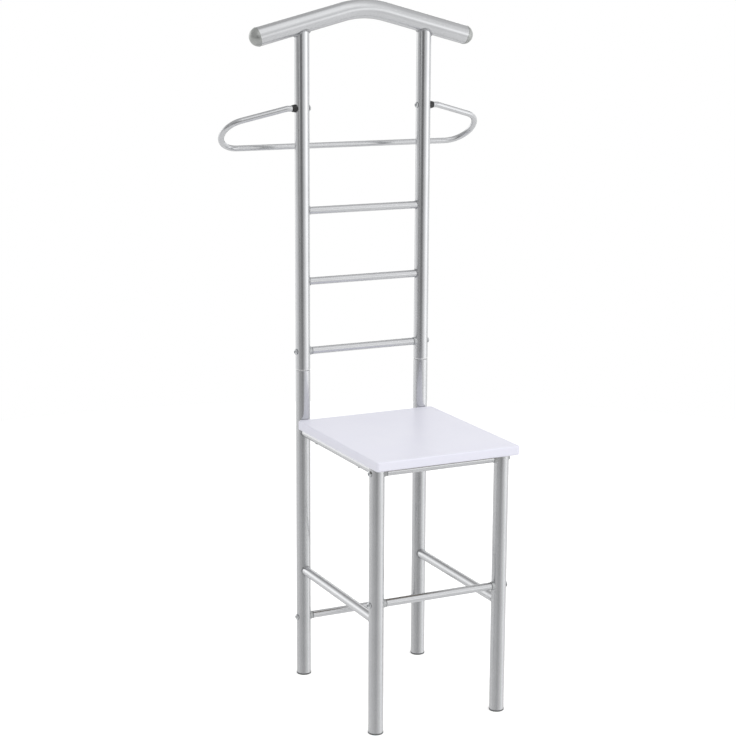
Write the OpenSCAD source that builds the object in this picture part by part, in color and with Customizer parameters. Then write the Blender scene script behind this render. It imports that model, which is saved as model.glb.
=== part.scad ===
// Clothes valet chair: a tubular steel stand with a ladder back and a seat board,
// a sloped shoulder bar on top and a trouser bar that tilts on two screws behind.
// Millimetres. X runs across, Y from front to back, Z up, and the floor is z = 0.
// The origin is the middle of the bounding box at floor level.

/* [Legs] */
// Distance between the leg axes, side to side
leg_gap_x = 230; // [200:1:290]
// Distance between the leg axes, front to back
leg_gap_y = 293; // [240:1:360]
// Diameter of the legs and of the uprights above them
leg_d = 25; // [22:0.5:28]
// Wall of the legs and uprights
leg_wall = 1.2; // [1:0.1:1.8]

/* [Crossbars] */
// Diameter of the rungs, the front rail and the front and rear stretchers
bar_d = 13; // [12:0.5:15]
// Wall of the rungs, rails and stretchers
bar_wall = 1; // [0.8:0.1:1.4]
// Diameter of the side rails and side stretchers, which join front legs to rear legs
side_bar_d = 16; // [12:0.5:17]
// Height of the side stretchers
side_stretcher_z = 195.5; // [140:0.5:300]
// Height of the bolted stretcher between the front legs
front_stretcher_z = 223.5; // [120:0.5:300]
// Height of the bolted stretcher between the rear legs
rear_stretcher_z = 107.5; // [60:0.5:180]
// Clear height between the board and the saddles of the front rail
front_rail_drop = 3; // [0.3:0.1:5]

/* [Ladder back] */
// Height of the seam where each upright slips over its rear leg
seam_z = 560; // [520:1:570]
// Open groove that shows at the seam
seam_gap = 2.6; // [0.6:0.1:3]
// Length below the seam over which the leg's bore narrows
swage_len = 5; // [3:0.5:10]
// How far the drawn-in end reaches past the lowest rung's bolt
spigot_past_bolt = 22; // [15:1:60]
// Height of the lowest rung, which is bolted
rung_low_z = 590.5; // [585:0.5:640]
// Step from one rung to the next
rung_pitch = 122; // [80:1:130]

/* [Shoulder bar] */
// Overall height of the chair, up to the peak of the shoulder bar
peak_z = 1188; // [1150:1:1300]
// Diameter of the shoulder bar
shoulder_d = 32; // [28:0.5:36]
// Wall of the shoulder bar
shoulder_wall = 1.2; // [1:0.1:2]
// Fall of each arm below the horizontal, in degrees
shoulder_slope = 14.5; // [8:0.5:20]
// Centreline radius of the bend at the peak
shoulder_bend_r = 160; // [80:5:220]
// Distance from the middle to the end of the bare tube, measured across
shoulder_half_w = 194.5; // [160:0.5:240]
// Width of the rim on each end cap
cap_rim_t = 1; // [0.8:0.1:3]
// How far the cap's rim stands proud of the tube
cap_rim_over = 0.3; // [0:0.1:1]
// Height of the cap's dome beyond its rim
cap_dome_h = 13.5; // [3:0.5:14]
// Length of the cap's plug inside the tube
cap_plug_len = 16; // [10:1:24]

/* [Trouser bar] */
// How far the trouser bar's screws lie below the peak of the shoulder bar
hang_drop = 180; // [168:1:248]
// Diameter of the trouser bar's tube
hang_d = 10; // [9:0.5:12]
// Wall of the trouser bar's tube
hang_wall = 1.2; // [1:0.1:1.5]
// Distance from the screws to the long bar, in the plane of the loop
hang_reach = 106; // [92:1:112]
// Angle at rest between the loop and the uprights, in degrees
hang_tilt = 48; // [20:1:80]
// Distance from the middle to the outermost point of the loop's centreline
hang_half_w = 241; // [235:1:300]
// Centreline radius of the two large bends
hang_bend_r = 40; // [35:1:45]
// Straight end of the tube that seats on its spacer
hang_end_len = 5.5; // [5:0.5:12]
// Centreline radius of the small bend next to each end
hang_elbow_r = 12; // [12:1:20]

/* [Seat] */
// Height of the underside of the seat board
seat_under_z = 456; // [400:1:490]
// Thickness of the seat board
seat_t = 16; // [14:1:25]
// How far the board stands out in front of the front leg axes
seat_front_over = 33.5; // [15:0.5:60]
// How far the board stands out beyond the outer faces of the legs
seat_side_over = 4; // [0:0.5:20]
// Space between the board's rear edge and the uprights
seat_rear_gap = 1.2; // [0.5:0.1:5]
// Corner radius of the board, seen from above
seat_corner_r = 5; // [5:0.5:30]
// Radius of the board's upper and lower edges
seat_edge_r = 2.5; // [1:0.5:4]
// Distance from the leg axes to the nearest seat screw, along a rail
seat_screw_inset = 62; // [30:1:100]

/* [Feet] */
// Thickness of the foot under the tube
foot_t = 2.5; // [2:0.5:8]
// How far the foot stands proud of the tube
foot_over = 0.5; // [0:0.1:2]
// Radius of the foot's lower edge
foot_edge_r = 1; // [0.5:0.1:1.8]
// Length of the foot's plug inside the tube
foot_plug_len = 15; // [8:1:30]
// Wall of the plugs on the feet and end caps
plug_wall = 2; // [1.2:0.1:3]

/* [Fasteners] */
// Thread diameter of the frame bolts
bolt_d = 6; // [5:0.5:7]
// Diameter of a frame bolt's button head
bolt_head_d = 10.5; // [9:0.5:12]
// Height of a frame bolt's button head
bolt_head_h = 3.3; // [2.5:0.1:4.5]
// Length of thread held in a crossbar's insert
bolt_grip = 12; // [8:1:16]
// Length of a crossbar's threaded insert
insert_len = 18; // [17:1:30]
// Thickness of a saddle between a leg and a bolted crossbar
saddle_t = 4.5; // [2.5:0.5:6]
// How far a saddle stands proud of the bar that it holds
saddle_lip = 0.3; // [0:0.1:1]
// How much wider a saddle's radius grows towards the leg
saddle_flare = 0.8; // [0.5:0.1:2.5]
// Length of the narrow neck where a saddle meets the bar
saddle_neck = 1.6; // [0.5:0.1:2]
// How far that neck lies inside the bar's skin
saddle_neck_in = 1.2; // [0.5:0.1:2]
// Thread diameter of the trouser bar's screws
pivot_d = 5; // [4:0.5:5.5]
// Diameter of a trouser bar screw's head
pivot_head_d = 10; // [8:0.5:11]
// Height of a trouser bar screw's head
pivot_head_h = 3.4; // [2.5:0.1:4]
// Length of thread held in the trouser bar's insert
pivot_grip = 8; // [6:0.5:9]
// Length of the threaded insert in each end of the trouser bar
hang_insert_len = 5; // [4:0.5:5.5]
// Thickness of the spacer between an upright and the trouser bar
spacer_t = 6.5; // [4:0.5:10]
// Diameter of that spacer where it meets the upright
spacer_d = 15; // [13:0.5:18]
// Diameter of that spacer where it meets the trouser bar
spacer_tip_d = 11; // [10:0.5:13]
// Thread diameter of the seat screws
seat_screw_d = 4; // [3.5:0.5:5]
// Diameter of a seat screw's head
seat_screw_head_d = 8; // [7:0.5:9]
// Height of a seat screw's head
seat_screw_head_h = 1.4; // [1.2:0.1:3]
// Depth that a seat screw reaches into the board
seat_screw_bite = 12; // [8:1:14]

/* [Welds] */
// Size of the weld bead where one tube meets another
weld_leg = 1.1; // [0.5:0.1:2]

/* [Clearances] */
// Gap around the drawn-in leg end inside the upright
slip_gap = 0.15; // [0.1:0.05:0.3]
// Gap around a bolt in its holes
bolt_gap = 0.2; // [0.1:0.05:0.5]
// Gap around the screws that the trouser bar turns on
pivot_gap = 0.05; // [0.03:0.01:0.1]
// Gap between pieces that are pushed together, and round a thread
push_gap = 0.05; // [0.02:0.01:0.1]
// Root gap under a weld
weld_gap = 0.1; // [0.05:0.01:0.2]
// Gap between the trouser bar and what it turns against
turn_gap = 0.3; // [0.2:0.05:0.5]

/* [Hidden] */
$fn = 72;

LEFT = -1;
RIGHT = 1;
// Overshoot of a cutting tool past the face that it cuts
over = 1;

// Colours
steel = [0.74, 0.75, 0.76];
zinc = [0.82, 0.82, 0.80];
board = [0.93, 0.93, 0.96];
grey_plastic = [0.42, 0.43, 0.43];
black_plastic = [0.07, 0.07, 0.08];

// Legs and their places
leg_r = leg_d / 2;
leg_x = leg_gap_x / 2;
leg_bore_r = leg_r - leg_wall;
rear_over = hang_reach * sin(hang_tilt) + hang_d / 2;
depth = seat_front_over + leg_gap_y + rear_over;
front_y = -depth / 2 + seat_front_over;
rear_y = front_y + leg_gap_y;
seat_rail_z = seat_under_z - side_bar_d / 2;

// Slip joint at the seam
spigot_r = leg_bore_r - slip_gap;
spigot_top_z = rung_low_z + spigot_past_bolt;
spigot_lead = leg_wall / 2;

// Bolted crossbars: a saddle, then the bar's square end
inner_face_x = leg_x - leg_r;
crossbar_end_x = inner_face_x - saddle_t;
bar_bore_r = bar_d / 2 - bar_wall;
saddle_tip_r = bar_d / 2 + saddle_lip;
saddle_r = saddle_tip_r + saddle_flare;
saddle_neck_r = bar_d / 2 - saddle_neck_in;
saddle_wrap = leg_r - sqrt(pow(leg_r, 2) - pow(saddle_r, 2));
// The front rail's saddles hang clear of the board
front_rail_z = seat_under_z - saddle_r - front_rail_drop;
// Each bolted crossbar as [y, z]
crossbars = [
    [front_y, front_rail_z],
    [front_y, front_stretcher_z],
    [rear_y, rear_stretcher_z],
    [rear_y, rung_low_z]
];

// Shoulder bar: an arc at the peak and a straight arm on each side
shoulder_r = shoulder_d / 2;
shoulder_bore_r = shoulder_r - shoulder_wall;
bend_top_z = peak_z - shoulder_r;
arm_start_x = shoulder_bend_r * sin(shoulder_slope);
arm_start_z = bend_top_z - shoulder_bend_r * (1 - cos(shoulder_slope));
arm_len = (shoulder_half_w - arm_start_x) / cos(shoulder_slope);
arm_z_at_leg = arm_start_z - (leg_x - arm_start_x) * tan(shoulder_slope);
hang_z = peak_z - hang_drop;

// Faint ring at each end of a bend: its height, its length and the seam that it covers
bend_mark_h = 0.02;
bend_mark_len = 0.3;
bend_mark_gap = 0.01;

// Trouser bar: u runs out along X, and v runs from the screws down the plane of the loop
outer_face_x = leg_x + leg_r;
spacer_r = spacer_d / 2;
spacer_tip_r = spacer_tip_d / 2;
spacer_wrap = leg_r - sqrt(pow(leg_r, 2) - pow(spacer_r, 2));
spacer_end_x = outer_face_x + spacer_t;
hang_r = hang_d / 2;
hang_bore_r = hang_r - hang_wall;
hang_end_x = spacer_end_x + turn_gap;
elbow_u = hang_end_x + hang_end_len;
bend_u = hang_half_w - hang_bend_r;
bend_v = hang_reach - hang_bend_r;
span = norm([bend_u - elbow_u, bend_v - hang_elbow_r]);
span_angle = atan2(bend_v - hang_elbow_r, bend_u - elbow_u);
// Slope of the arm that is tangent to the small bend and to the large one
arm_slope = span_angle - asin((hang_bend_r - hang_elbow_r) / span);
hang_arm_len = sqrt(pow(span, 2) - pow(hang_bend_r - hang_elbow_r, 2));

// Seat board
seat_w = leg_gap_x + leg_d + 2 * seat_side_over;
seat_front_y = front_y - seat_front_over;
seat_rear_y = rear_y - leg_r - seat_rear_gap;
seat_screw_ys = [front_y + seat_screw_inset, rear_y - seat_screw_inset];

// ---- Shapes that several pieces share ----

// A straight tube that stands on z = 0.
module tube(r, wall, len) {
    difference() {
        cylinder(r = r, h = len);
        translate([0, 0, -over])
            cylinder(r = r - wall, h = len + 2 * over);
    }
}

// Turns a child that points up so that it points along X, towards side.
module lay_across(side) {
    rotate([0, side * 90, 0])
        children();
}

// A vertical column in the place of a leg or upright, used to cut what fits against it.
module leg_column(side, y, gap) {
    translate([side * leg_x, y, 0])
        cylinder(r = leg_r + gap, h = peak_z);
}

// A hole across a leg or upright, through both walls.
module cross_hole(side, y, z, r) {
    translate([side * (leg_x - leg_r - over), y, z])
        lay_across(side)
            cylinder(r = r, h = leg_d + 2 * over);
}

// A button head that rises along Z from its seat, with a hexagonal socket.
module button_head(d, h) {
    skirt = h * 0.35;
    rise = h - skirt;
    ball = (pow(d / 2, 2) + pow(rise, 2)) / (2 * rise);
    difference() {
        union() {
            cylinder(d = d, h = skirt);
            intersection() {
                translate([0, 0, h - ball])
                    sphere(r = ball);
                translate([0, 0, skirt])
                    cylinder(d = d, h = h);
            }
        }
        translate([0, 0, h * 0.4])
            cylinder(d = d * 0.42, h = h, $fn = 6);
    }
}

// A flared collar from its narrow end at z = 0 to its wide end, cut to sit on a leg.
module saddle(narrow_r, wide_r, thickness, wrap, hole_r) {
    difference() {
        cylinder(r1 = narrow_r, r2 = wide_r, h = thickness + wrap);
        translate([0, 0, -over])
            cylinder(r = hole_r, h = thickness + wrap + 2 * over);
        translate([-leg_d, 0, thickness + leg_r])
            rotate([0, 90, 0])
                cylinder(r = leg_r + push_gap, h = 2 * leg_d);
    }
}

// ---- Legs, rails and stretchers ----

module front_leg(side) {
    color(steel)
        difference() {
            translate([side * leg_x, front_y, foot_t])
                tube(leg_r, leg_wall, seat_under_z - foot_t);
            for (z = [front_stretcher_z, front_rail_z])
                cross_hole(side, front_y, z, bolt_d / 2 + bolt_gap);
        }
}

// The rear leg is drawn in above the seam, so that the upright slips over it.
module rear_leg(side) {
    neck_z = seam_z - seam_gap;
    outline = [
        [leg_r, foot_t],
        [leg_r, neck_z],
        [spigot_r, neck_z + seam_gap / 2],
        [spigot_r, spigot_top_z - spigot_lead],
        [spigot_r - spigot_lead, spigot_top_z],
        [spigot_r - leg_wall, spigot_top_z],
        [spigot_r - leg_wall, neck_z],
        [leg_bore_r, neck_z - swage_len],
        [leg_bore_r, foot_t]
    ];
    color(steel)
        difference() {
            translate([side * leg_x, rear_y, 0])
                rotate_extrude()
                    polygon(outline);
            for (z = [rear_stretcher_z, rung_low_z])
                cross_hole(side, rear_y, z, bolt_d / 2 + bolt_gap);
        }
}

// A level rod from the axis of one leg or upright, given as [side, y], to that of another.
module level_rod(from, to, z, r) {
    run = [(to[0] - from[0]) * leg_x, to[1] - from[1]];
    translate([from[0] * leg_x, from[1], z])
        rotate([0, 90, atan2(run[1], run[0])])
            cylinder(r = r, h = norm(run));
}

// A welded bar: its ends are shaped to the legs, and a bead of weld follows each joint.
module welded_bar(from, to, z, d) {
    difference() {
        union() {
            level_rod(from, to, z, d / 2);
            for (post = [from, to])
                intersection() {
                    level_rod(from, to, z, d / 2 + weld_leg);
                    leg_column(post[0], post[1], weld_leg);
                }
        }
        level_rod(from, to, z, d / 2 - bar_wall);
        for (post = [from, to])
            leg_column(post[0], post[1], weld_gap);
    }
}

// The beads of weld are ground level where the board lies on them.
module seat_rail(side) {
    weld_reach = leg_r + 2 * weld_leg;
    color(steel)
        difference() {
            welded_bar([side, front_y], [side, rear_y], seat_rail_z, side_bar_d);
            for (y = [front_y, rear_y])
                translate([side * leg_x - side_bar_d, y - weld_reach, seat_under_z - push_gap])
                    cube([2 * side_bar_d, 2 * weld_reach, side_bar_d]);
            for (y = seat_screw_ys)
                translate([side * leg_x, y, seat_rail_z - side_bar_d])
                    cylinder(d = seat_screw_d + 2 * bolt_gap, h = 2 * side_bar_d);
        }
}

module side_stretcher(side) {
    color(steel)
        welded_bar([side, front_y], [side, rear_y], side_stretcher_z, side_bar_d);
}

// A bolted bar with square ends, between two saddles.
module crossbar(y, z) {
    color(steel)
        translate([-crossbar_end_x, y, z])
            lay_across(RIGHT)
                tube(bar_d / 2, bar_wall, 2 * crossbar_end_x);
}

// ---- Ladder back ----

// An upright: its top is shaped to the underside of the shoulder bar and welded to it.
module upright(side) {
    len = arm_z_at_leg - seam_z;
    color(steel)
        difference() {
            union() {
                translate([side * leg_x, rear_y, seam_z])
                    cylinder(r = leg_r, h = len);
                intersection() {
                    translate([side * leg_x, rear_y, seam_z])
                        cylinder(r = leg_r + weld_leg, h = len);
                    shoulder_arm(side, shoulder_r + weld_leg);
                }
            }
            translate([side * leg_x, rear_y, seam_z - over])
                cylinder(r = leg_bore_r, h = len + 2 * over);
            shoulder_arm(side, shoulder_r + weld_gap);
            cross_hole(side, rear_y, rung_low_z, bolt_d / 2 + bolt_gap);
            cross_hole(side, rear_y, hang_z, pivot_d / 2 + pivot_gap);
        }
}

module welded_rung(step) {
    color(steel)
        welded_bar([LEFT, rear_y], [RIGHT, rear_y], rung_low_z + step * rung_pitch, bar_d);
}

// ---- Shoulder bar ----

// Places its children about the centre of the bend, turned so that an arm lies level.
module on_arm(side) {
    translate([0, rear_y, bend_top_z - shoulder_bend_r])
        rotate([0, side * shoulder_slope, 0])
            children();
}

// One straight arm as a solid rod, drawn out past its end by extra.
module shoulder_arm(side, r, extra = 0) {
    on_arm(side)
        translate([0, 0, shoulder_bend_r])
            lay_across(side)
                cylinder(r = r, h = arm_len + extra);
}

// The arc of the bend as a solid rod, from the right arm to a little past the middle.
module shoulder_arc(r) {
    on_arm(RIGHT)
        rotate([90, 0, 0])
            rotate([0, 0, 90])
                rotate_extrude(angle = shoulder_slope + 2)
                    translate([shoulder_bend_r, 0])
                        circle(r = r);
}

module half_shoulder_bar() {
    difference() {
        union() {
            shoulder_arc(shoulder_r);
            shoulder_arm(RIGHT, shoulder_r);
        }
        union() {
            shoulder_arc(shoulder_bore_r);
            shoulder_arm(RIGHT, shoulder_bore_r, over);
        }
        translate([-2 * peak_z, -peak_z, 0])
            cube(2 * peak_z);
    }
}

module shoulder_bar() {
    color(steel) {
        half_shoulder_bar();
        mirror([1, 0, 0])
            half_shoulder_bar();
    }
}

// A domed end cap: a hollow plug in the tube, a rim on its edge and the dome.
module shoulder_cap(side) {
    plug_r = shoulder_bore_r - push_gap;
    ball = (pow(shoulder_r, 2) + pow(cap_dome_h, 2)) / (2 * cap_dome_h);
    color(grey_plastic)
        on_arm(side)
            translate([side * arm_len, 0, shoulder_bend_r])
                lay_across(side) {
                    translate([0, 0, -cap_plug_len])
                        tube(plug_r, plug_wall, cap_plug_len);
                    cylinder(r = shoulder_r + cap_rim_over, h = cap_rim_t);
                    intersection() {
                        translate([0, 0, cap_rim_t + cap_dome_h - ball])
                            sphere(r = ball);
                        translate([0, 0, cap_rim_t])
                            cylinder(r = shoulder_r, h = cap_dome_h);
                    }
                }
}

// ---- Trouser bar ----

// Stands a child drawn in the loop's plane behind the uprights, at the angle it rests at.
module in_loop_plane() {
    translate([0, rear_y, hang_z])
        rotate([hang_tilt + 90, 0, 0])
            children();
}

// A straight length of the tube along X. Its children start where it ends.
module run(len) {
    translate([bend_mark_gap, 0, 0])
        lay_across(RIGHT)
            tube(hang_r, hang_wall, len - 2 * bend_mark_gap);
    translate([len, 0, 0])
        children();
}

// A bend that starts along X and turns clockwise. Its children start where it ends.
module bend(bend_r, angle) {
    slack = bend_mark_gap / bend_r * 180 / PI;
    bend_mark();
    translate([0, -bend_r, 0])
        rotate([0, 0, -angle]) {
            rotate([0, 0, 90 + slack])
                rotate_extrude(angle = angle - 2 * slack)
                    translate([bend_r, 0])
                        difference() {
                            circle(r = hang_r);
                            circle(r = hang_bore_r);
                        }
            translate([0, bend_r, 0]) {
                bend_mark();
                children();
            }
        }
}

// The faint ring that marks the tube where a bend meets a straight length.
module bend_mark() {
    translate([-bend_mark_len / 2, 0, 0])
        lay_across(RIGHT)
            tube(hang_r + bend_mark_h, hang_wall + 2 * bend_mark_h, bend_mark_len);
}

// From the right-hand end of the long bar round to its screw.
module half_loop() {
    translate([bend_u, -hang_reach, 0])
        rotate([180, 0, 0])
            bend(hang_bend_r, 180 - arm_slope)
                run(hang_arm_len)
                    bend(hang_elbow_r, arm_slope)
                        run(hang_end_len);
}

module trouser_bar() {
    color(steel)
        in_loop_plane() {
            half_loop();
            mirror([1, 0, 0])
                half_loop();
            translate([-bend_u, -hang_reach, 0])
                run(2 * bend_u);
        }
}

module trouser_bar_inserts() {
    color(zinc)
        for (side = [LEFT, RIGHT])
            translate([side * hang_end_x, rear_y, hang_z])
                lay_across(side)
                    difference() {
                        cylinder(r = hang_bore_r - push_gap, h = hang_insert_len);
                        translate([0, 0, -over])
                            cylinder(r = pivot_d / 2 + pivot_gap, h = hang_insert_len + 2 * over);
                    }
}

// Each screw enters from the inner side of its upright, and its head faces the other one.
module trouser_bar_screws() {
    head_x = inner_face_x - push_gap;
    color(zinc)
        for (side = [LEFT, RIGHT])
            translate([side * head_x, rear_y, hang_z]) {
                lay_across(-side)
                    button_head(pivot_head_d, pivot_head_h);
                lay_across(side)
                    cylinder(d = pivot_d, h = hang_end_x + pivot_grip - head_x);
            }
}

module trouser_bar_spacers() {
    color(black_plastic)
        for (side = [LEFT, RIGHT])
            translate([side * spacer_end_x, rear_y, hang_z])
                lay_across(-side)
                    saddle(spacer_tip_r, spacer_r, spacer_t, spacer_wrap, pivot_d / 2 + pivot_gap);
}

// ---- Seat ----

// The board's outer band seen end on, as wide as the corner radius, its outer edges rounded.
module edge_profile() {
    square([seat_corner_r - seat_edge_r, seat_t]);
    translate([0, seat_edge_r])
        square([seat_corner_r, seat_t - 2 * seat_edge_r]);
    for (z = [seat_edge_r, seat_t - seat_edge_r])
        translate([seat_corner_r - seat_edge_r, z])
            circle(r = seat_edge_r);
}

// One straight side of the outer band, len long, that starts out at x = from.
module edge_band(from, len) {
    translate([from, len / 2, 0])
        rotate([90, 0, 0])
            linear_extrude(len)
                edge_profile();
}

module seat_board() {
    core_x = seat_w - 2 * seat_corner_r;
    core_y = seat_rear_y - seat_front_y - 2 * seat_corner_r;
    color(board)
        difference() {
            translate([0, (seat_front_y + seat_rear_y) / 2, seat_under_z]) {
                translate([-core_x / 2, -core_y / 2, 0])
                    cube([core_x, core_y, seat_t]);
                for (turn = [0, 180])
                    rotate([0, 0, turn])
                        edge_band(core_x / 2, core_y);
                for (turn = [90, 270])
                    rotate([0, 0, turn])
                        edge_band(core_y / 2, core_x);
                for (corner = [[1, 1, 0], [-1, 1, 90], [-1, -1, 180], [1, -1, 270]])
                    translate([corner[0] * core_x / 2, corner[1] * core_y / 2, 0])
                        rotate([0, 0, corner[2]])
                            rotate_extrude(angle = 90)
                                edge_profile();
            }
            for (side = [LEFT, RIGHT])
                for (y = seat_screw_ys)
                    translate([side * leg_x, y, seat_under_z - over])
                        cylinder(d = seat_screw_d + 2 * push_gap, h = seat_screw_bite + 2 * over);
        }
}

// Each screw comes up through a seat rail and into the board.
module seat_screws() {
    rail_bottom_z = seat_under_z - side_bar_d;
    color(zinc)
        for (side = [LEFT, RIGHT])
            for (y = seat_screw_ys)
                translate([side * leg_x, y, rail_bottom_z - push_gap]) {
                    cylinder(d = seat_screw_d, h = side_bar_d + push_gap + seat_screw_bite);
                    mirror([0, 0, 1])
                        button_head(seat_screw_head_d, seat_screw_head_h);
                }
}

// ---- Feet ----

module foot(side, y) {
    base_r = leg_r + foot_over;
    color(grey_plastic)
        translate([side * leg_x, y, 0]) {
            rotate_extrude() {
                square([base_r - foot_edge_r, foot_t]);
                translate([0, foot_edge_r])
                    square([base_r, foot_t - foot_edge_r]);
                intersection() {
                    translate([base_r - foot_edge_r, foot_edge_r])
                        circle(r = foot_edge_r);
                    square([base_r, foot_t]);
                }
            }
            translate([0, 0, foot_t])
                tube(leg_bore_r - push_gap, plug_wall, foot_plug_len);
        }
}

// ---- Fasteners of the bolted crossbars ----

module crossbar_saddles() {
    color(grey_plastic)
        for (bar = crossbars)
            for (side = [LEFT, RIGHT])
                translate([side * crossbar_end_x, bar[0], bar[1]])
                    lay_across(side)
                        difference() {
                            saddle(saddle_tip_r, saddle_r, saddle_t, saddle_wrap, bolt_d / 2 + bolt_gap);
                            translate([0, 0, -over])
                                tube(saddle_r + over, saddle_r + over - saddle_neck_r, saddle_neck + over);
                        }
}

module crossbar_inserts() {
    color(zinc)
        for (bar = crossbars)
            for (side = [LEFT, RIGHT])
                translate([side * crossbar_end_x, bar[0], bar[1]])
                    lay_across(-side)
                        difference() {
                            cylinder(r = bar_bore_r - push_gap, h = insert_len);
                            translate([0, 0, -over])
                                cylinder(r = bolt_d / 2 + push_gap, h = insert_len + 2 * over);
                        }
}

module crossbar_bolts() {
    head_x = outer_face_x + push_gap;
    color(zinc)
        for (bar = crossbars)
            for (side = [LEFT, RIGHT])
                translate([side * head_x, bar[0], bar[1]]) {
                    lay_across(side)
                        button_head(bolt_head_d, bolt_head_h);
                    lay_across(-side)
                        cylinder(d = bolt_d, h = head_x - crossbar_end_x + bolt_grip);
                }
}

front_leg(LEFT);  // left_front_leg
front_leg(RIGHT);  // right_front_leg
rear_leg(LEFT);  // left_rear_leg
rear_leg(RIGHT);  // right_rear_leg
seat_rail(LEFT);  // left_seat_rail
seat_rail(RIGHT);  // right_seat_rail
side_stretcher(LEFT);  // left_side_stretcher
side_stretcher(RIGHT);  // right_side_stretcher
crossbar(front_y, front_rail_z);  // front_seat_rail
crossbar(front_y, front_stretcher_z);  // front_stretcher
crossbar(rear_y, rear_stretcher_z);  // rear_stretcher
upright(LEFT);  // left_upright
upright(RIGHT);  // right_upright
crossbar(rear_y, rung_low_z);  // lower_rung
welded_rung(1);  // middle_rung
welded_rung(2);  // upper_rung
shoulder_bar();
shoulder_cap(LEFT);  // left_shoulder_cap
shoulder_cap(RIGHT);  // right_shoulder_cap
trouser_bar();
trouser_bar_inserts();
trouser_bar_screws();
trouser_bar_spacers();
seat_board();
seat_screws();
foot(LEFT, front_y);  // left_front_foot
foot(RIGHT, front_y);  // right_front_foot
foot(LEFT, rear_y);  // left_rear_foot
foot(RIGHT, rear_y);  // right_rear_foot
crossbar_saddles();
crossbar_inserts();
crossbar_bolts();
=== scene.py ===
"""Dresses the clothes valet chair: its finishes, weld beads, floor, light and camera."""

import logging
import math
from collections.abc import Sequence
from dataclasses import dataclass, replace
from enum import Enum
from functools import cache
from itertools import product
from typing import Any

import bpy
import numpy as np
from mathutils import Matrix, Vector


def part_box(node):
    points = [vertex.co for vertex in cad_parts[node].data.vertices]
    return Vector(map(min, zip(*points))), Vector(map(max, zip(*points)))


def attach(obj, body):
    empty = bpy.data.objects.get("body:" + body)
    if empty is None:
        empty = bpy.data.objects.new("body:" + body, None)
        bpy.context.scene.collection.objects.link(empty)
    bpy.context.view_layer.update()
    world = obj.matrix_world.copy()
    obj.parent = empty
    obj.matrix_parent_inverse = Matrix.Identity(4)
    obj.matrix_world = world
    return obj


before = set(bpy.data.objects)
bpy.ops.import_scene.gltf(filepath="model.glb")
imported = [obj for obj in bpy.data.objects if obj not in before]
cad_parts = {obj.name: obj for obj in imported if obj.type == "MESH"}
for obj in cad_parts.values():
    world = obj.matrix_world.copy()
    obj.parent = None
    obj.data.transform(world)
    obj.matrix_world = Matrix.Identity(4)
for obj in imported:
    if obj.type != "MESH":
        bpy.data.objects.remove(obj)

log = logging.getLogger("valet")

Point = tuple[float, float, float]
Colour = tuple[float, float, float, float]
Socket = bpy.types.NodeSocket
Tree = bpy.types.NodeTree

MM = 0.001
UM = 1e-6
# Each side of the chair with the sign of its X
SIDES = (("left", -1.0), ("right", 1.0))
UP = np.array([0.0, 0.0, 1.0])


# ---- Colours and nodes ----


def linear(hex_colour: str) -> Colour:
    """Turns an sRGB hex colour into linear light, by the curve of the sRGB standard.

    Args:
        hex_colour: Six hex digits, such as "c8cacc".

    Returns:
        Linear red, green and blue, and an alpha of 1.
    """
    channels = (int(hex_colour[i : i + 2], 16) / 255 for i in (0, 2, 4))
    r, g, b = (c / 12.92 if c <= 0.04045 else ((c + 0.055) / 1.055) ** 2.4 for c in channels)
    return r, g, b, 1.0


def grey(level: float) -> Colour:
    """Returns a grey of a linear level from 0 to 1."""
    return level, level, level, 1.0


WHITE = grey(1.0)


def per_metre(size_mm: float) -> float:
    """Turns a pattern's real size in millimetres into a texture scale."""
    return 1 / (size_mm * MM)


def add_node(
    tree: Tree,
    kind: str,
    settings: dict[str, Any] | None = None,
    stops: Sequence[tuple[float, Any]] = (),
    **links: Any,
) -> bpy.types.Node:
    """Adds a shader node with its settings, its colour stops, its constant inputs and its links.

    Args:
        tree: The node tree that the node goes into.
        kind: The node's Blender type, such as "ShaderNodeTexNoise".
        settings: The node's own attributes, such as {"operation": "ADD"}.
        stops: A colour ramp's positions from 0 to 1, each with a grey level or a linear colour.
        links: Inputs by name, with "_" for a space, or i0, i1 and so on by number. A socket is
            linked, and anything else is set as the input's value.

    Returns:
        The new node.
    """
    node = tree.nodes.new(kind)
    for name, value in (settings or {}).items():
        setattr(node, name, value)
    while stops and len(node.color_ramp.elements) < len(stops):
        node.color_ramp.elements.new(0.5)
    for index, (position, colour) in enumerate(stops):
        element = node.color_ramp.elements[index]
        element.position = position
        element.color = colour if isinstance(colour, tuple) else grey(colour)
    for name, value in links.items():
        key = int(name[1:]) if name[0] == "i" and name[1:].isdigit() else name.replace("_", " ")
        if isinstance(value, Socket):
            tree.links.new(value, node.inputs[key])
        else:
            node.inputs[key].default_value = value
    return node


def blank_material(name: str) -> bpy.types.Material:
    """Returns a new material with an empty node tree."""
    made = bpy.data.materials.new(name)
    made.use_nodes = True
    made.node_tree.nodes.clear()
    return made


# ---- Finishes ----


# Each noise's finer octaves: how many there are, and how strong
PATCH_OCTAVES = {"Detail": 3.0, "Roughness": 0.55}
GRAIN_OCTAVES = {"Detail": 2.0, "Roughness": 0.6}
FIBRE_OCTAVES = {"Detail": 4.0}


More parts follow.
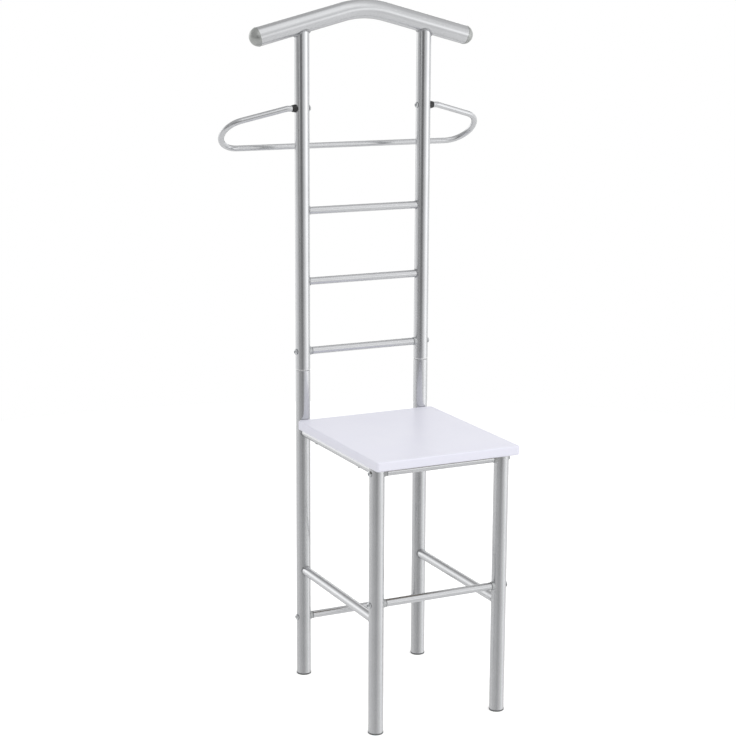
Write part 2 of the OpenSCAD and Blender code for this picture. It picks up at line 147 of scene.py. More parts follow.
@dataclass(frozen=True)
class SeamHighlight:
    """A near-white, mostly matte band at the end of a tube: a painted highlight for the glints in
    its seam.
    """

    # Height in metres above which the painted highlight takes the lacquer's place
    above: float
    colour: str = "fafafa"
    roughness: float = 0.12
    # Low, so that the near-white colour shows as a painted highlight deep in the groove
    metallic: float = 0.28

    def show(
        self, tree: Tree, place: Socket, colour: Socket, rough: Socket, metallic: float
    ) -> tuple[Socket, Socket, Socket]:
        """Goes from the lacquer to the painted highlight above the height.

        Args:
            tree: The material's node tree.
            place: Object coordinates.
            colour: The lacquer's colour.
            rough: The lacquer's roughness.
            metallic: The lacquer's metallic value.

        Returns:
            The colour, roughness and metallic value of the whole tube.
        """
        height = add_node(tree, "ShaderNodeSeparateXYZ", Vector=place).outputs["Z"]
        highlight_mask = add_node(
            tree, "ShaderNodeMath", {"operation": "GREATER_THAN"}, i0=height, i1=self.above
        ).outputs[0]
        colour = add_node(
            tree, "ShaderNodeMixRGB", Fac=highlight_mask, Color1=colour, Color2=linear(self.colour)
        ).outputs[0]
        rough = add_node(
            tree, "ShaderNodeMixRGB", Fac=highlight_mask, Color1=rough, Color2=grey(self.roughness)
        ).outputs[0]
        metal = add_node(
            tree,
            "ShaderNodeMath",
            {"operation": "MULTIPLY_ADD"},
            i0=highlight_mask,
            i1=self.metallic - metallic,
            i2=metallic,
        ).outputs[0]
        return colour, rough, metal


@dataclass(frozen=True)
class RawUnderside:
    """The underside of a board that was left without lacquer, with its fibres in sight."""

    colour: str
    # The real fibres are finer, and are drawn this coarse so that they show
    fibre_mm: float = 1.5
    # A face belongs to the underside where the upward part of its normal is less than this
    facing: float = -0.9

    def show(self, tree: Tree, place: Socket, colour: Socket) -> Socket:
        """Goes from the lacquer's colour to raw board on the faces that look down.

        Args:
            tree: The material's node tree.
            place: Object coordinates.
            colour: The lacquer's colour.

        Returns:
            The colour of the whole board.
        """
        normal = add_node(tree, "ShaderNodeTexCoord").outputs["Normal"]
        upward = add_node(tree, "ShaderNodeSeparateXYZ", Vector=normal).outputs["Z"]
        below = add_node(
            tree, "ShaderNodeMath", {"operation": "LESS_THAN"}, i0=upward, i1=self.facing
        ).outputs[0]
        fibres = add_node(
            tree,
            "ShaderNodeTexNoise",
            Vector=place,
            Scale=per_metre(self.fibre_mm),
            **FIBRE_OCTAVES,
        ).outputs["Fac"]
        raw = add_node(
            tree, "ShaderNodeHueSaturation", Color=linear(self.colour), Value=fibres
        ).outputs["Color"]
        return add_node(
            tree, "ShaderNodeMixRGB", Fac=below, Color1=colour, Color2=raw
        ).outputs[0]


@dataclass(frozen=True)
class Finish:
    """What one real surface finish shows the eye.

    The colour drifts between colour and shade in patches of patch_mm. A finer noise of grain_mm
    takes the roughness up and down by roughness_spread and lifts the surface by grain_um. A grain
    of 0.4 to 0.6 mm stands for a finer real one, and is drawn this coarse so that it shows.
    """

    name: str
    colour: str
    shade: str
    metallic: float
    roughness: float
    patch_mm: float
    grain_mm: float
    grain_um: float
    roughness_spread: float = 0.05
    # A clear top coat: how much there is of it, and how rough it is
    coat: float = 0.0
    coat_roughness: float = 0.1
    ior: float = 1.5
    # A seam with a painted highlight, and a place that was left without the finish
    seam_highlight: SeamHighlight | None = None
    underside: RawUnderside | None = None
    # Noise levels between which a surface goes from shade to colour, and from smooth to rough
    patch_edges: tuple[float, float] = (0.35, 0.65)
    grain_edges: tuple[float, float] = (0.3, 0.7)
    bump_strength: float = 0.6

    def material(self) -> bpy.types.Material:
        """Builds the finish as a procedural material on Object coordinates.

        Returns:
            The material.
        """
        made = blank_material(self.name)
        tree = made.node_tree
        place = add_node(tree, "ShaderNodeTexCoord").outputs["Object"]
        patches = add_node(
            tree,
            "ShaderNodeTexNoise",
            Vector=place,
            Scale=per_metre(self.patch_mm),
            **PATCH_OCTAVES,
        ).outputs["Fac"]
        grain = add_node(
            tree,
            "ShaderNodeTexNoise",
            Vector=place,
            Scale=per_metre(self.grain_mm),
            **GRAIN_OCTAVES,
        ).outputs["Fac"]
        shades = linear(self.shade), linear(self.colour)
        colour = add_node(
            tree, "ShaderNodeValToRGB", stops=list(zip(self.patch_edges, shades)), Fac=patches
        ).outputs["Color"]
        spread = self.roughness - self.roughness_spread, self.roughness + self.roughness_spread
        rough = add_node(
            tree, "ShaderNodeValToRGB", stops=list(zip(self.grain_edges, spread)), Fac=grain
        ).outputs["Color"]
        metal: Socket | float = self.metallic
        # A painted highlight in a seam: near-white, mostly matte colour above a height
        if self.seam_highlight is not None:
            colour, rough, metal = self.seam_highlight.show(tree, place, colour, rough, self.metallic)
        if self.underside is not None:
            colour = self.underside.show(tree, place, colour)
        bump = add_node(
            tree,
            "ShaderNodeBump",
            Strength=self.bump_strength,
            Distance=self.grain_um * UM,
            Height=grain,
        ).outputs["Normal"]
        shader = add_node(
            tree,
            "ShaderNodeBsdfPrincipled",
            Base_Color=colour,
            Roughness=rough,
            Normal=bump,
            Metallic=metal,
            IOR=self.ior,
            Coat_Weight=self.coat,
            Coat_Roughness=self.coat_roughness,
        )
        add_node(tree, "ShaderNodeOutputMaterial", Surface=shader.outputs["BSDF"])
        return made


# Aluminium-pigmented lacquer on steel tube: a soft silver sheen, with fine orange peel.
SILVER_LACQUER = Finish(
    "satin_silver_lacquer_on_steel", colour="cccdcf", shade="c8c9cb", metallic=0.88,
    roughness=0.20, roughness_spread=0.03, patch_mm=60, grain_mm=1.4, grain_um=6,
    coat=0.1, coat_roughness=0.2,
)
# The same lacquer over a weld: rippled and glossy, and darker in patches as painted shade of the
# joints.
WELD_LACQUER_WITH_PAINTED_SHADE = Finish(
    "silver_lacquer_on_weld_with_painted_shade", colour="b8b9bb", shade="8f9092", metallic=0.95,
    roughness=0.14, patch_mm=3, grain_mm=1.4, grain_um=120,
)
# Bright zinc plate on cold-headed steel: pale, a touch blue, and sharper than the lacquer.
ZINC_PLATE = Finish(
    "bright_zinc_plate_on_steel", colour="d2d4d6", shade="c6c8ca", metallic=1.0,
    roughness=0.12, roughness_spread=0.03, patch_mm=3, grain_mm=0.4, grain_um=3,
)
# Sprayed white lacquer on fibreboard: smooth and satin, with a faint cool tint. The underside was
# left raw, brown and fibrous.
WHITE_LACQUER = Finish(
    "white_satin_lacquer_on_fibreboard", colour="eeeef9", shade="ececf8", metallic=0.0,
    roughness=0.38, roughness_spread=0.04, patch_mm=90, grain_mm=1.2, grain_um=10,
    underside=RawUnderside("9a8468"),
)
# Moulded grey polypropylene: matte, with a fine spark-eroded grain.
GREY_POLYPROPYLENE = Finish(
    "moulded_grey_polypropylene", colour="8f9190", shade="868887", metallic=0.0,
    roughness=0.45, patch_mm=12, grain_mm=0.5, grain_um=20, ior=1.49,
)
# The shoulder bar's caps are moulded in a metallic grey, so that a dome mirrors the room softly.
METALLIC_POLYPROPYLENE = Finish(
    "moulded_metallic_grey_polypropylene", colour="aeb0ae", shade="a6a8a6", metallic=0.7,
    roughness=0.3, patch_mm=12, grain_mm=0.6, grain_um=15, ior=1.49,
)
# The feet are moulded in a darker grey.
DARK_POLYPROPYLENE = Finish(
    "moulded_dark_grey_polypropylene", colour="6b6d6d", shade="636565", metallic=0.0,
    roughness=0.5, patch_mm=12, grain_mm=0.5, grain_um=20, ior=1.49,
)
# The saddles are moulded in a pale silver grey that all but matches the tubes.
PALE_POLYPROPYLENE = Finish(
    "moulded_silver_grey_polypropylene", colour="bcbebf", shade="b2b4b5", metallic=0.25,
    roughness=0.36, patch_mm=6, grain_mm=0.5, grain_um=15, ior=1.49,
)
# Moulded black nylon: satin, nearly even.
BLACK_NYLON = Finish(
    "moulded_black_nylon", colour="1b1b1d", shade="171719", metallic=0.0,
    roughness=0.42, patch_mm=8, grain_mm=0.5, grain_um=15, ior=1.53,
)


class Slot(Enum):
    """The record's material slots, each with the finish that dresses it."""

    SILVER_STEEL = ("silver_steel", SILVER_LACQUER)
    ZINC = ("zinc", ZINC_PLATE)
    WHITE_BOARD = ("white_board", WHITE_LACQUER)
    GREY_PLASTIC = ("grey_plastic", GREY_POLYPROPYLENE)
    BLACK_PLASTIC = ("black_plastic", BLACK_NYLON)

    @property
    def record_name(self) -> str:
        """The slot's name in the record."""
        return self.value[0]

    @property
    def finish(self) -> Finish:
        """The finish that dresses the slot."""
        return self.value[1]


@cache
def material_of(finish: Finish) -> bpy.types.Material:
    """Returns a finish's material, built the first time that it is asked for."""
    return finish.material()


def dress_node(name: str, slot: Slot, finish: Finish | None = None) -> None:
    """Gives a CAD node its finish.

    Args:
        name: The node's name.
        slot: The slot whose finish it takes.
        finish: A finish of its own, in place of the slot's.
    """
    shown = finish or slot.finish
    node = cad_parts[name]
    node.data.materials.clear()
    node.data.materials.append(material_of(shown))
    log.info("dressed %s in %s", name, shown.name)


# ---- Surfaces ----


def add_object(name: str, data: bpy.types.ID) -> bpy.types.Object:
    """Returns a new object at the origin, linked to the scene."""
    made = bpy.data.objects.new(name, data)
    bpy.context.scene.collection.objects.link(made)
    return made


def grid_mesh(name: str, points: np.ndarray, closed: bool) -> bpy.types.Mesh:
    """Makes a mesh of quads from a grid of points whose last column joins the first.

    The faces look along the cross product of the way the rows run on with the way the columns do.

    Args:
        name: The mesh's name.
        points: An array of shape (rows, columns, 3), in metres.
        closed: True if the last row joins the first as well.

    Returns:
        The mesh, with smooth faces.
    """
    rows, columns = points.shape[:2]
    i = np.arange(rows if closed else rows - 1)[:, None]
    j = np.arange(columns)[None, :]
    next_i, next_j = (i + 1) % rows, (j + 1) % columns
    corners = ((i, j), (next_i, j), (next_i, next_j), (i, next_j))
    quads = np.stack([row * columns + column for row, column in corners], axis=-1)
    mesh = bpy.data.meshes.new(name)
    mesh.from_pydata(points.reshape(-1, 3).tolist(), [], quads.reshape(-1, 4).tolist())
    mesh.polygons.foreach_set("use_smooth", np.ones(len(mesh.polygons), bool))
    mesh.update()
    return mesh


@dataclass(frozen=True)
class WeldBead:
    """A bead of weld round the joint where a round bar ends against a round post.

    The bead's centreline is where the two cylinders meet. At the angle t round the bar it lies
    bar_r cos t to the side of the bar's axis and bar_r sin t above it. The post's surface is there
    as far from the post's axis as the root of post_r squared less the sideways offset squared.
    That, less what the offset above adds where the bar leans, over the cosine of the lean is the
    way down the bar. The bead's section is a circle whose radius swells and shrinks with the
    welder's ripples and drifts a little from one side to the next.
    """

    bar_r: float
    post_r: float
    section: float = 1.5 * MM
    # Ripples and slower drifts: how many go round the bar, and their share of the section
    ripples: int = 17
    ripple_share: float = 0.10
    drifts: int = 3
    drift_share: float = 0.06
    # Phase in radians from one seed's ripples to the next one's
    seed_turn: float = 2.4
    # Points round the bar and round the section
    steps: int = 102
    sides: int = 12

    def points(
        self, origin: np.ndarray, along: np.ndarray, post: np.ndarray, seed: int
    ) -> np.ndarray:
        """Works out the bead's surface.

        Args:
            origin: Where the axes of bar and post cross.
            along: Unit vector from there down the bar.
            post: Unit vector along the post.
            seed: Sets where this bead's ripples start.

        Returns:
            An array of shape (steps, sides, 3).
        """
        t = np.linspace(0, math.tau, self.steps, endpoint=False)[:, None]
        s = np.linspace(0, math.tau, self.sides, endpoint=False)[None, :]
        start = self.seed_turn * seed
        ripple = self.ripple_share * np.sin(self.ripples * t + start)
        drift = self.drift_share * np.sin(self.drifts * t + 2 * start)
        swell = self.section * (1 + ripple + drift)
        # Unit vectors to the side of the bar, above it, and straight away from the post
        side = np.cross(post, along)
        side = side / np.linalg.norm(side)
        above = np.cross(along, side)
        away = along - (along @ post) * post
        away = away / np.linalg.norm(away)
        rim = self.bar_r + swell * np.cos(s)
        to_side, up = rim * np.cos(t), rim * np.sin(t)
        reach = np.sqrt(self.post_r**2 - (self.bar_r * np.cos(t)) ** 2)
        down = (reach - up * (above @ away)) / (along @ away) + swell * np.sin(s)
        return origin + down[..., None] * along + to_side[..., None] * side + up[..., None] * above


def add_bead(name: str, points: np.ndarray) -> None:
    """Adds a weld bead as a piece that rides with the frame.

    Args:
        name: The piece's name.
        points: The bead's surface, of shape (steps, sides, 3), in metres.
    """
    mesh = grid_mesh(name, points, closed=True)
    # The bead's darker colour is painted shade for the crevice of its joint
    mesh.materials.append(material_of(WELD_LACQUER_WITH_PAINTED_SHADE))
    piece = add_object(name, mesh)
    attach(piece, "frame")
    log.info("added %s: %d faces", name, len(mesh.polygons))


# ---- Sub-assemblies ----


def middle(name: str) -> np.ndarray:
    """Returns the middle of a CAD node's box, in metres."""
    return np.mean(np.array(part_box(name)), axis=0)


def half_size(name: str) -> np.ndarray:
    """Returns half the size of a CAD node's box, in metres."""
    low, high = np.array(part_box(name))
    return (high - low) / 2


def top_z(name: str) -> float:
    """Returns the height of a CAD node's highest point, in metres."""
    return float(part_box(name)[1][2])


def bottom_z(name: str) -> float:
    """Returns the height of a CAD node's lowest point, in metres."""
    return float(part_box(name)[0][2])


@dataclass(frozen=True)
class Plan:
    """Sizes that several sub-assemblies share, in metres, in the part's frame."""

    # Where the legs stand: X of the right-hand ones, and Y of the front and rear ones
    leg_x: float
    front_y: float
    rear_y: float
    # Outer radii of the legs' and the rungs' tubes
    leg_r: float
    rung_r: float

    @classmethod
    def from_frame(cls) -> "Plan":
        """Reads the sizes off the CAD nodes.

        Returns:
            The plan of this chair.
        """
        front_leg, rear_leg = middle("right_front_leg"), middle("right_rear_leg")
        return cls(
            leg_x=float(rear_leg[0]),
            front_y=float(front_leg[1]),
            rear_y=float(rear_leg[1]),
            leg_r=float(half_size("right_front_leg")[0]),
            rung_r=float(half_size("lower_rung")[2]),
        )


@dataclass
class SteelFrame:
    """The legs, rails and stretchers, with the weld beads on the side members."""

    plan: Plan
    side_bar_r: float = 8 * MM
    # How far the ground beads stay below the board
    ground: float = 0.05 * MM
    # How far below the uprights the painted highlight of the rear seams starts, at the seam's edge
    highlight_below: float = 1.5 * MM
    rear_legs: tuple[str, ...] = ("left_rear_leg", "right_rear_leg")
    tubes: tuple[str, ...] = (
        "left_front_leg",
        "right_front_leg",
        "left_rear_leg",
        "right_rear_leg",
        "left_seat_rail",
        "right_seat_rail",
        "left_side_stretcher",
        "right_side_stretcher",
        "front_seat_rail",
        "front_stretcher",
        "rear_stretcher",
    )

    def dress(self) -> None:
        """Gives every tube its lacquer, with a painted highlight in the rear seams.

        The end of a rear leg is drawn in and goes up into its upright; its seam's glints are
        painted highlight.
        """
        # The rear legs' seams get a painted highlight: a near-white, mostly matte band
        lacquer_with_seam_highlight = replace(
            SILVER_LACQUER,
            name="silver_lacquer_with_painted_seam_highlight",
            seam_highlight=SeamHighlight(above=bottom_z("left_upright") - self.highlight_below),
        )
        for name in self.tubes:
            dress_node(name, Slot.SILVER_STEEL, lacquer_with_seam_highlight if name in self.rear_legs else None)

    def weld(self) -> None:
        """Lays a bead at both ends of each side rail and side stretcher."""
        plan = self.plan
        bead = WeldBead(self.side_bar_r, plan.leg_r)
        board_under_z = bottom_z("seat_board")
        stretcher_z = float(middle("left_side_stretcher")[2])
        bars = (("seat_rail", board_under_z - self.side_bar_r), ("side_stretcher", stretcher_z))
        ends = (("front", plan.front_y, 1.0), ("rear", plan.rear_y, -1.0))
        joints = product(SIDES, bars, ends)
        for seed, ((label, side), (bar, z), (end, y, heading)) in enumerate(joints, start=1):
            origin = np.array([side * plan.leg_x, y, z])
            points = bead.points(origin, np.array([0.0, heading, 0.0]), UP, seed)
            # The beads of the seat rails are ground level with them, so that the board lies flat
            if bar == "seat_rail":
                points[..., 2] = np.minimum(points[..., 2], board_under_z - self.ground)
            add_bead(f"{label}_{bar}_{end}_weld", points)


@dataclass
class LadderBack:
    """The uprights and rungs, with the weld beads on the two upper rungs."""

    plan: Plan
    tubes: tuple[str, ...] = (
        "left_upright",
        "right_upright",
        "lower_rung",
        "middle_rung",
        "upper_rung",
    )
    # Each welded rung, and the number midway between its two beads' seeds
    welded: tuple[tuple[str, int], ...] = (("middle_rung", 10), ("upper_rung", 20))

    def dress(self) -> None:
        """Gives the uprights and rungs their lacquer."""
        for name in self.tubes:
            dress_node(name, Slot.SILVER_STEEL)

    def weld(self) -> None:
        """Lays a bead at both ends of the two welded rungs."""
        plan = self.plan
        bead = WeldBead(plan.rung_r, plan.leg_r)
        for (rung, seed), (label, side) in product(self.welded, SIDES):
            origin = np.array([side * plan.leg_x, plan.rear_y, middle(rung)[2]])
            points = bead.points(origin, np.array([-side, 0.0, 0.0]), UP, seed + int(side))
            add_bead(f"{rung}_{label}_weld", points)


@dataclass
class ShoulderRest:
    """The shoulder bar, its end caps, and the beads that join it to the uprights."""

    plan: Plan
    bar_r: float = 16 * MM
    # Radius of the bend at the peak, to the bar's axis, and the slope of both arms beyond it
    bend_r: float = 160 * MM
    slope: float = math.radians(14.5)
    # The number midway between the two beads' seeds
    seed: int = 40

    def dress(self) -> None:
        """Gives the bar its lacquer and the caps their plastic."""
        dress_node("shoulder_bar", Slot.SILVER_STEEL)
        for name in ("left_shoulder_cap", "right_shoulder_cap"):
            dress_node(name, Slot.GREY_PLASTIC, METALLIC_POLYPROPYLENE)

    def axis_z(self, x: float) -> float:
        """Works out how high the bar's axis lies on an arm.

        Args:
            x: The distance from the middle of the chair, beyond the bend.

        Returns:
            The height in metres.
        """
        peak_z = top_z("shoulder_bar") - self.bar_r
        arm_start_x = self.bend_r * math.sin(self.slope)
        arm_start_z = peak_z - self.bend_r * (1 - math.cos(self.slope))
        return arm_start_z - (x - arm_start_x) * math.tan(self.slope)

    def weld(self) -> None:
        """Lays a bead round the head of each upright, against the underside of the bar."""
        plan = self.plan
        bead = WeldBead(plan.leg_r, self.bar_r, section=2.1 * MM, ripples=29, steps=144)
        for label, side in SIDES:
            arm = np.array([side * math.cos(self.slope), 0.0, -math.sin(self.slope)])
            origin = np.array([side * plan.leg_x, plan.rear_y, self.axis_z(plan.leg_x)])
            add_bead(f"{label}_upright_weld", bead.points(origin, -UP, arm, self.seed + int(side)))


@dataclass
class TrouserRest:
    """The tilting trouser bar with its inserts, spacers and screws."""

    def dress(self) -> None:
        """Gives each piece of the trouser bar its finish."""
        dress_node("trouser_bar", Slot.SILVER_STEEL)
        dress_node("trouser_bar_inserts", Slot.ZINC)
        dress_node("trouser_bar_screws", Slot.ZINC)
        dress_node("trouser_bar_spacers", Slot.BLACK_PLASTIC)


@dataclass
class Seat:
    """The seat board and the screws that hold it."""

    def dress(self) -> None:
        """Gives the board its lacquer and the screws their plate."""
        dress_node("seat_board", Slot.WHITE_BOARD)
        dress_node("seat_screws", Slot.ZINC)


@dataclass
class Fittings:
    """The feet, saddles, inserts and bolts."""

    feet: tuple[str, ...] = (
        "left_front_foot",
        "right_front_foot",
        "left_rear_foot",
        "right_rear_foot",
    )

    def dress(self) -> None:
        """Gives the feet and saddles their plastic, and the inserts and bolts their plate."""
        for name in self.feet:
            dress_node(name, Slot.GREY_PLASTIC, DARK_POLYPROPYLENE)
        dress_node("crossbar_saddles", Slot.GREY_PLASTIC, PALE_POLYPROPYLENE)
        dress_node("crossbar_inserts", Slot.ZINC)
        dress_node("crossbar_bolts", Slot.ZINC)


# ---- Studio ----


@dataclass(frozen=True)
class Ring:
    """The room's levels round one elevation, each with its heading, both in degrees."""

    elevation: float
    levels: tuple[tuple[float, float], ...]

    def ramp(self, tree: Tree, turn: Socket) -> Socket:
        """Builds the ring as a colour ramp that closes on itself.

        Args:
            tree: The world's node tree.
            turn: The heading, from 0 to 1 for -180 to 180 degrees.

        Returns:
            The ramp's colour socket.
        """
        headings = [h for h, _ in self.levels]
        values = [v for _, v in self.levels]
        seam = float(np.interp(180, headings + [headings[0] + 360], values + [values[0]]))
        inner = [((h + 180) / 360, v) for h, v in self.levels if -180 < h < 180]
        stops = ((0.0, seam), *inner, (1.0, seam))
        return add_node(tree, "ShaderNodeValToRGB", stops=stops, Fac=turn).outputs["Color"]


# What the room shows in glossy surfaces, ring by ring from the floor up. Headings count in
# degrees from the camera's towards the right of the picture, and a level of 1 is white.
ROOM_RINGS = (
    Ring(-42, ((0, 0.98),)),
    Ring(-20, (
        (-166, 0.45), (-148, 0.95), (-106, 0.88), (-64, 0.66), (-29, 0.53), (-8, 0.4), (8, 0.4),
        (36, 0.68), (60, 0.88), (85, 1.35), (105, 1.25), (125, 0.95), (148, 1.0), (166, 0.45),
        (180, 0.38),
    )),
    Ring(-8, (
        (-166, 0.2), (-146, 1.25), (-128, 1.35), (-108, 0.95), (-78, 0.95), (-60, 0.55),
        (-48, 0.24), (-28, 0.28), (-10, 0.12), (5, 0.1), (20, 0.42), (38, 0.85), (52, 1.15),
        (64, 1.65), (95, 1.8), (108, 0.9), (146, 1.2), (166, 0.2), (180, 0.12),
    )),
    Ring(-1.5, (
        (-166, 0.15), (-146, 1.3), (-128, 1.55), (-112, 0.95), (-90, 0.55), (-66, 0.25),
        (-50, 0.1), (-43, 0.95), (-34, 0.95), (-27, 0.2), (-6, 0.0), (2, 0.03), (16, 0.8),
        (44, 0.95), (54, 1.7), (85, 2.2), (98, 1.0), (146, 1.1), (166, 0.15), (180, 0.05),
    )),
    Ring(13, (
        (-165, 1.7), (-145, 1.4), (-128, 1.9), (-115, 1.3), (-90, 0.6), (-40, 0.4), (10, 0.6),
        (40, 0.75), (48, 0.85), (56, 1.1), (72, 0.95), (100, 1.4), (140, 1.2), (165, 1.7),
    )),
    Ring(24, (
        (-165, 0.4), (-142, 0.7), (-130, 1.1), (-115, 1.0), (-98, 0.4), (-20, 0.45), (8, 1.3),
        (25, 1.1), (46, 0.85), (58, 1.1), (72, 0.85), (100, 1.3), (150, 0.4),
    )),
    Ring(45, (
        (-180, 0.6), (-60, 0.5), (-20, 0.6), (5, 1.35), (32, 1.1), (47, 1.4), (60, 1.3),
        (74, 0.95), (92, 0.75), (120, 0.65), (150, 0.7),
    )),
    Ring(68, (
        (-175, 0.55), (-60, 0.6), (0, 0.8), (50, 1.3), (74, 1.05), (100, 0.85), (145, 0.8),
        (165, 0.55),
    )),
)


def seen_straight(tree: Tree, rays: bpy.types.bpy_prop_collection) -> Socket:
    """Builds a switch that is 1 for rays from the camera, also through what is clear.

    Args:
        tree: The node tree.
        rays: The outputs of a Light Path node.

    Returns:
        The switch's socket.
    """
    kinds = {"i0": rays["Is Camera Ray"], "i1": rays["Is Transmission Ray"]}
    return add_node(tree, "ShaderNodeMath", {"operation": "MAXIMUM"}, **kinds).outputs[0]


@dataclass(frozen=True)
class Room:
    """White to the camera, an even soft light, and walls of many levels to what is glossy."""

    # The camera's heading seen from the chair, in degrees round from +X
    camera_heading: float
    soft_light: float = 0.72
    rings: tuple[Ring, ...] = ROOM_RINGS

    def walls(self, tree: Tree) -> Socket:
        """Builds the walls' levels, which go straight from one ring to the next with height.

        Args:
            tree: The world's node tree.

        Returns:
            The level that the room has in the ray's direction.
        """
        direction = add_node(tree, "ShaderNodeTexCoord").outputs["Generated"]
        turned = add_node(
            tree,
            "ShaderNodeVectorRotate",
            {"rotation_type": "Z_AXIS"},
            Vector=direction,
            Angle=-math.radians(self.camera_heading),
        ).outputs[0]
        split = add_node(tree, "ShaderNodeSeparateXYZ", i0=turned).outputs
        angle = add_node(
            tree, "ShaderNodeMath", {"operation": "ARCTAN2"}, i0=split["Y"], i1=split["X"]
        ).outputs[0]
        turn = add_node(
            tree, "ShaderNodeMath", {"operation": "MULTIPLY_ADD"}, i0=angle, i1=1 / math.tau, i2=0.5
        ).outputs[0]
        levels = self.rings[0].ramp(tree, turn)
        for lower, ring in zip(self.rings, self.rings[1:]):
            rise = add_node(
                tree,
                "ShaderNodeMapRange",
                i0=split["Z"],
                i1=math.sin(math.radians(lower.elevation)),
                i2=math.sin(math.radians(ring.elevation)),
            ).outputs[0]
            levels = add_node(
                tree, "ShaderNodeMixRGB", Fac=rise, Color1=levels, Color2=ring.ramp(tree, turn)
            ).outputs[0]
        return levels

    def build(self) -> None:
        """Sets the scene's world."""
        world = bpy.data.worlds.new("studio")
        bpy.context.scene.world = world
        world.use_nodes = True
        tree = world.node_tree
        tree.nodes.clear()
        walls = add_node(tree, "ShaderNodeBackground", Color=self.walls(tree)).outputs[0]
        soft = add_node(
            tree, "ShaderNodeBackground", Color=WHITE, Strength=self.soft_light
        ).outputs[0]
        white = add_node(tree, "ShaderNodeBackground", Color=WHITE).outputs[0]
        rays = add_node(tree, "ShaderNodeLightPath").outputs
        unseen = add_node(
            tree, "ShaderNodeMixShader", i0=rays["Is Glossy Ray"], i1=soft, i2=walls
        ).outputs[0]
        shown = add_node(
            tree, "ShaderNodeMixShader", i0=seen_straight(tree, rays), i1=unseen, i2=white
        ).outputs[0]
        add_node(tree, "ShaderNodeOutputWorld", Surface=shown)


@dataclass(frozen=True)
class Floor:
    """A pale round floor that keeps the object's shadow and fades into the white beyond it."""

    radius: float = 2.2
    colour: str = "e6e6e6"
    # Light that the camera alone sees on it, which lifts its colour to the room's white
    glow: float = 0.55
    # Share of a mirrored ray that passes it, so that the legs mirror the room as well
    clear: float = 0.8
    # How many points there are round it, and how many circles of them
    spokes: int = 96
    circles: int = 12

    def material(self) -> bpy.types.Material:
        """Builds the white paint of a studio sweep, with its glow to the camera.

        Returns:
            The material.
        """
        made = blank_material("white_studio_sweep")
        tree = made.node_tree
        rays = add_node(tree, "ShaderNodeLightPath").outputs
        paint = add_node(tree, "ShaderNodeBsdfDiffuse", Color=linear(self.colour)).outputs[0]
        glow = add_node(tree, "ShaderNodeEmission", Color=WHITE, Strength=self.glow).outputs[0]
        lifted = add_node(tree, "ShaderNodeAddShader", i0=paint, i1=glow).outputs[0]
        shown = add_node(
            tree, "ShaderNodeMixShader", i0=seen_straight(tree, rays), i1=paint, i2=lifted
        ).outputs[0]
        clear = add_node(tree, "ShaderNodeBsdfTransparent").outputs[0]
        passed = add_node(
            tree,
            "ShaderNodeMath",
            {"operation": "MULTIPLY"},
            i0=rays["Is Glossy Ray"],
            i1=self.clear,
        ).outputs[0]
        mixed = add_node(tree, "ShaderNodeMixShader", i0=passed, i1=shown, i2=clear).outputs[0]
        add_node(tree, "ShaderNodeOutputMaterial", Surface=mixed)
        return made

    def build(self) -> None:
        """Lays the floor: at the angle t and the radius r, a point is r cos t, r sin t, 0."""
        t = np.linspace(0, math.tau, self.spokes, endpoint=False)[None, :]
        r = np.linspace(0.0, self.radius, self.circles)[:, None]
        points = np.stack([r * np.cos(t), r * np.sin(t), np.zeros_like(r * t)], axis=-1)
        mesh = grid_mesh("floor", points, closed=False)
        mesh.materials.append(self.material())
        add_object("floor", mesh)


@dataclass(frozen=True)
class Softbox:
    """A square soft lamp that shows in no reflection, with its place and side in metres."""

    name: str
    place: Point
    side: float
    watts: float

    def hang(self, aim: Point) -> None:
        """Hangs the lamp in its place.

        Args:
            aim: The point that it is turned to, in metres.
        """
        data = bpy.data.lights.new(self.name, "AREA")
        data.energy = self.watts
        data.size = self.side
        lamp = add_object(self.name, data)
        lamp.location = self.place
        lamp.visible_glossy = False
        lamp.rotation_euler = (Vector(aim) - Vector(self.place)).to_track_quat("-Z", "Y").to_euler()


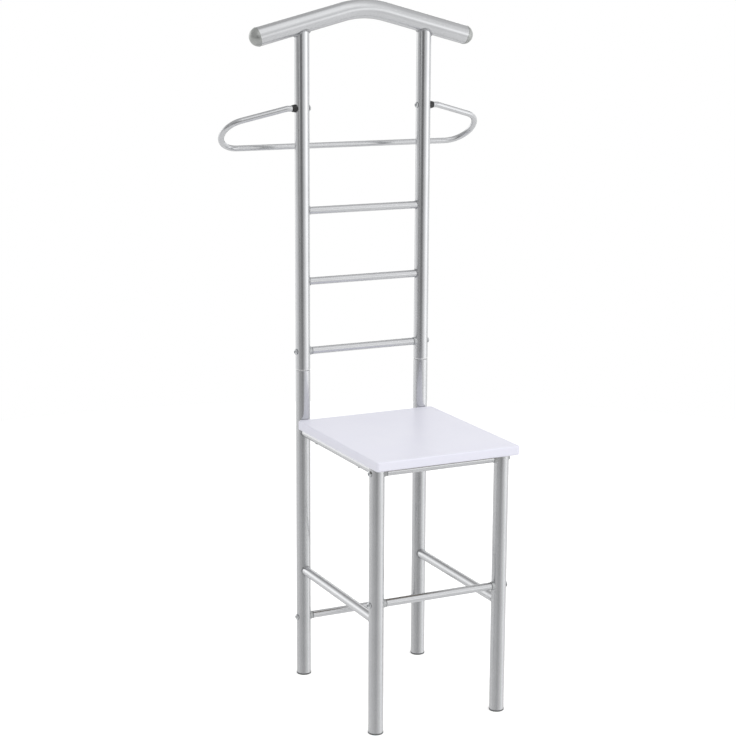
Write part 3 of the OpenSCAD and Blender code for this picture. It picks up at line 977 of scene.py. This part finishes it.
@dataclass(frozen=True)
class PhotoCamera:
    """The camera as it was fitted to the photograph, in metres and degrees."""

    place: Point = (-1.34985, -2.676707, 1.220948)
    # The way back from what it looks at: from the front towards +X, and above level
    azimuth: float = -25.9290
    elevation: float = 12.1796
    roll: float = 0.2487
    lens_mm: float = 88.134
    sensor_mm: float = 36.0

    @property
    def heading(self) -> float:
        """The way back from what it looks at, in degrees round from +X."""
        return self.azimuth - 90

    def build(self) -> None:
        """Puts the camera where the photograph was taken from."""
        azimuth, elevation = math.radians(self.azimuth), math.radians(self.elevation)
        level = math.cos(elevation)
        back = Vector((math.sin(azimuth) * level, -math.cos(azimuth) * level, math.sin(elevation)))
        right = Vector((math.cos(azimuth), math.sin(azimuth), 0.0))
        up = back.cross(right)
        c, s = math.cos(math.radians(self.roll)), math.sin(math.radians(self.roll))
        turn = Matrix((right * c + up * s, up * c - right * s, back)).transposed().to_4x4()
        data = bpy.data.cameras.new("camera")
        data.sensor_width = self.sensor_mm
        data.lens = self.lens_mm
        camera = add_object("camera", data)
        camera.matrix_world = Matrix.Translation(self.place) @ turn
        bpy.context.scene.camera = camera


@dataclass(frozen=True)
class Studio:
    """A white sweep with two soft lamps, a room that shows in reflections, and the camera."""

    camera: PhotoCamera = PhotoCamera()
    floor: Floor = Floor()
    lamps: tuple[Softbox, ...] = (
        Softbox("key_softbox", (1.9, -2.3, 2.6), side=1.4, watts=40.0),
        Softbox("fill_softbox", (-2.4, -1.6, 1.8), side=1.6, watts=10.5),
    )
    # Where the lamps point, near the middle of the chair
    aim: Point = (0.0, 0.0, 0.55)

    def build(self) -> None:
        """Sets up the room, the floor, the lamps and the camera."""
        bpy.context.scene.view_settings.view_transform = "Standard"
        Room(self.camera.heading).build()
        self.floor.build()
        for lamp in self.lamps:
            lamp.hang(self.aim)
        self.camera.build()
        log.info("studio is set")


def main() -> None:
    """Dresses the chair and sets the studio."""
    logging.basicConfig(level=logging.INFO, format="%(name)s: %(message)s")
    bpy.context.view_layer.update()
    plan = Plan.from_frame()
    welded = (SteelFrame(plan), LadderBack(plan), ShoulderRest(plan))
    for part in (*welded, TrouserRest(), Seat(), Fittings()):
        part.dress()
    for part in welded:
        part.weld()
    Studio().build()
    bpy.context.view_layer.update()


if __name__ == "__main__":
    main()
